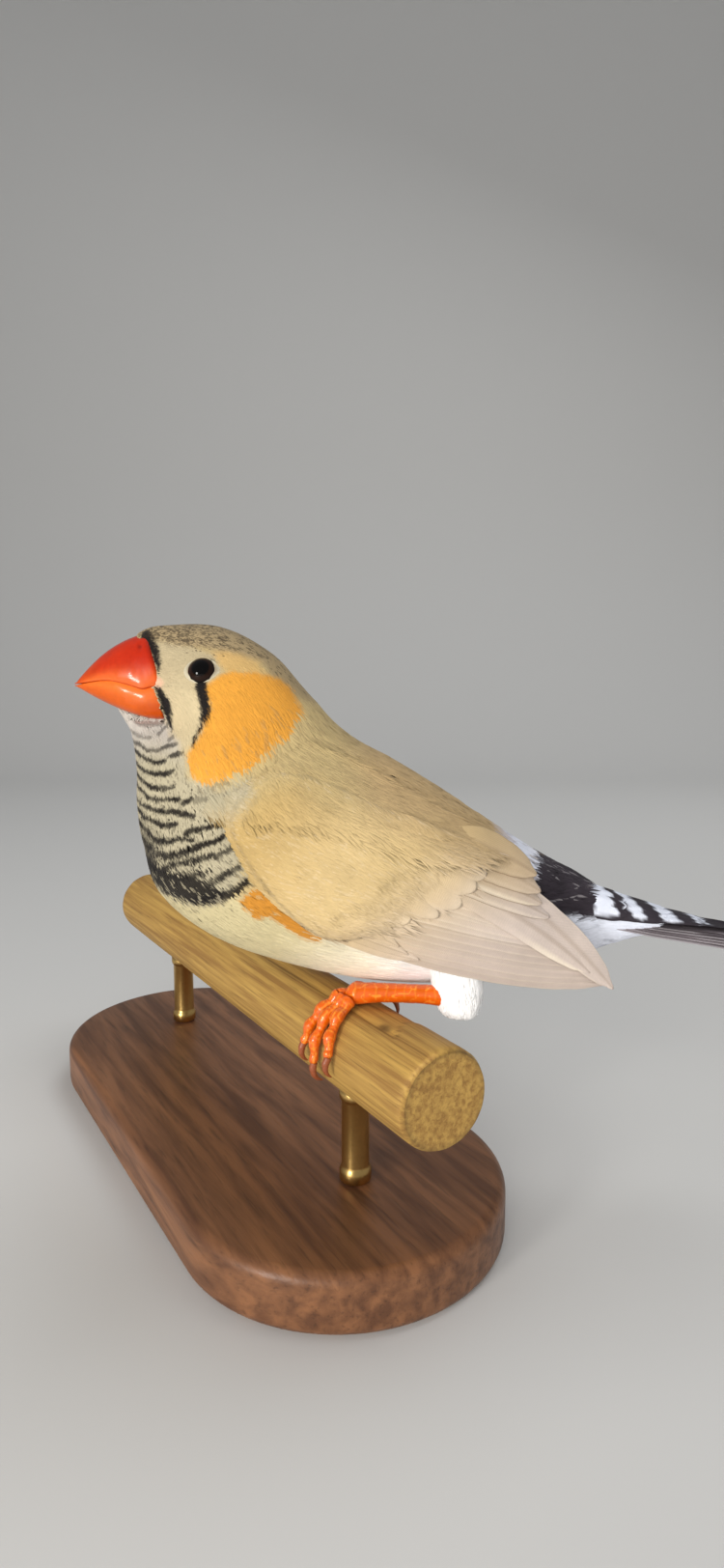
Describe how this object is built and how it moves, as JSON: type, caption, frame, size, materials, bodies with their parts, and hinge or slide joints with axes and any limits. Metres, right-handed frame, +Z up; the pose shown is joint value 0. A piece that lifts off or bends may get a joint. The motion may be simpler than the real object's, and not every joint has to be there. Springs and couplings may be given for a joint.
{
  "type": "zebra finch figure",
  "caption": "Life-size male zebra finch of the fawn colour, at rest on a cut length of wooden perch held over a flat oval base by short rods.",
  "frame": {"origin": "centre of the base's underside", "axes": "+Z up from the surface that the base rests on; the bird faces -X and its left side faces -Y"},
  "size_m": [0.1178, 0.096, 0.0834],
  "materials": {
    "plumage_grey": "soft matt plumage",
    "plumage_white": "soft matt plumage",
    "plumage_fawn": "smooth matt flight feathers",
    "plumage_dark": "smooth matt tail feathers",
    "bill_red": "waxy sheen",
    "bill_orange": "waxy sheen",
    "leg_orange": "scaly, satin",
    "eye_dark": "wet gloss",
    "perch_wood": "bare, worn smooth",
    "stand_wood": "dark satin",
    "rod_brass": "brushed"
  },
  "bodies": {
    "root": {"head": "plumage_grey", "neck": "plumage_grey", "torso": "plumage_white", "wing_left": "plumage_fawn", "wing_right": "plumage_fawn", "tail": "plumage_dark", "uppertail_coverts": "plumage_dark", "undertail_coverts": "plumage_white", "thigh_left": "plumage_white", "thigh_right": "plumage_white", "leg_left": "leg_orange", "leg_right": "leg_orange", "bill_upper": "bill_red", "bill_lower": "bill_orange", "eye_left": "eye_dark", "eye_right": "eye_dark", "perch": "perch_wood", "stand_base": "stand_wood", "stand_rod_front": "rod_brass", "stand_rod_back": "rod_brass"}
  },
  "joints": []
}
